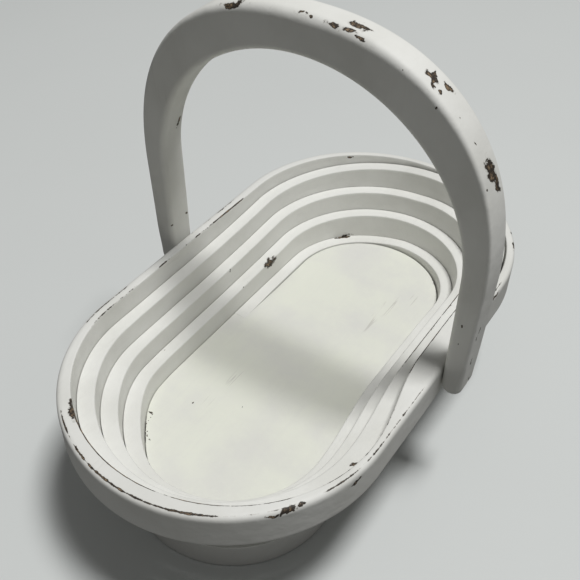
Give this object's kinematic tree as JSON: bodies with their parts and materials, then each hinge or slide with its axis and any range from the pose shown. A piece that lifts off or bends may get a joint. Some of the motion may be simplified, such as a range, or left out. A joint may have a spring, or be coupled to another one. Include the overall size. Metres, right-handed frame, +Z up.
{
  "type": "collapsible basket bowl",
  "caption": "Oval wooden basket bowl: a spiral-sawn board whose rings drop into steps round a flat floor, with a swinging arched handle and an oval foot.",
  "frame": {"origin": "centre of the foot's underside, on the table", "axes": "+X along the bowl's length, +Y across it through the handle's pivots towards the left leg, +Z up"},
  "size_m": [0.363, 0.2346, 0.2954],
  "materials": {
    "painted_wood": "matte white chalk paint, rubbed through to brown wood at the edges",
    "pin_wood": "dowel end, painted over"
  },
  "bodies": {
    "base": {"foot_block": "painted_wood", "floor_panel": "painted_wood", "fourth_step": "painted_wood"},
    "third_turn": {"third_step": "painted_wood"},
    "second_turn": {"second_step": "painted_wood"},
    "first_turn": {"first_step": "painted_wood"},
    "rim": {"rim": "painted_wood", "left_pin": "pin_wood", "right_pin": "pin_wood"},
    "handle": {"handle": "painted_wood"}
  },
  "joints": [
    {"name": "sink_third", "type": "slide", "parent": "base", "child": "third_turn", "axis": [0, 0, -1], "range_m": [0, 0.014]},
    {"name": "sink_second", "type": "slide", "parent": "third_turn", "child": "second_turn", "axis": [0, 0, -1], "range_m": [0, 0.014]},
    {"name": "sink_first", "type": "slide", "parent": "second_turn", "child": "first_turn", "axis": [0, 0, -1], "range_m": [0, 0.014]},
    {"name": "sink_rim", "type": "slide", "parent": "first_turn", "child": "rim", "axis": [0, 0, -1], "range_m": [0, 0.014]},
    {"name": "handle_swing", "type": "hinge", "parent": "rim", "child": "handle", "pos_m": [0, 0, 0.0895], "axis": [0, 1, 0], "range_deg": [-88.8, 91.2]}
  ],
  "couplings": [
    {"joint": "sink_second", "follows": "sink_third", "ratio": 1},
    {"joint": "sink_first", "follows": "sink_third", "ratio": 1},
    {"joint": "sink_rim", "follows": "sink_third", "ratio": 1}
  ]
}
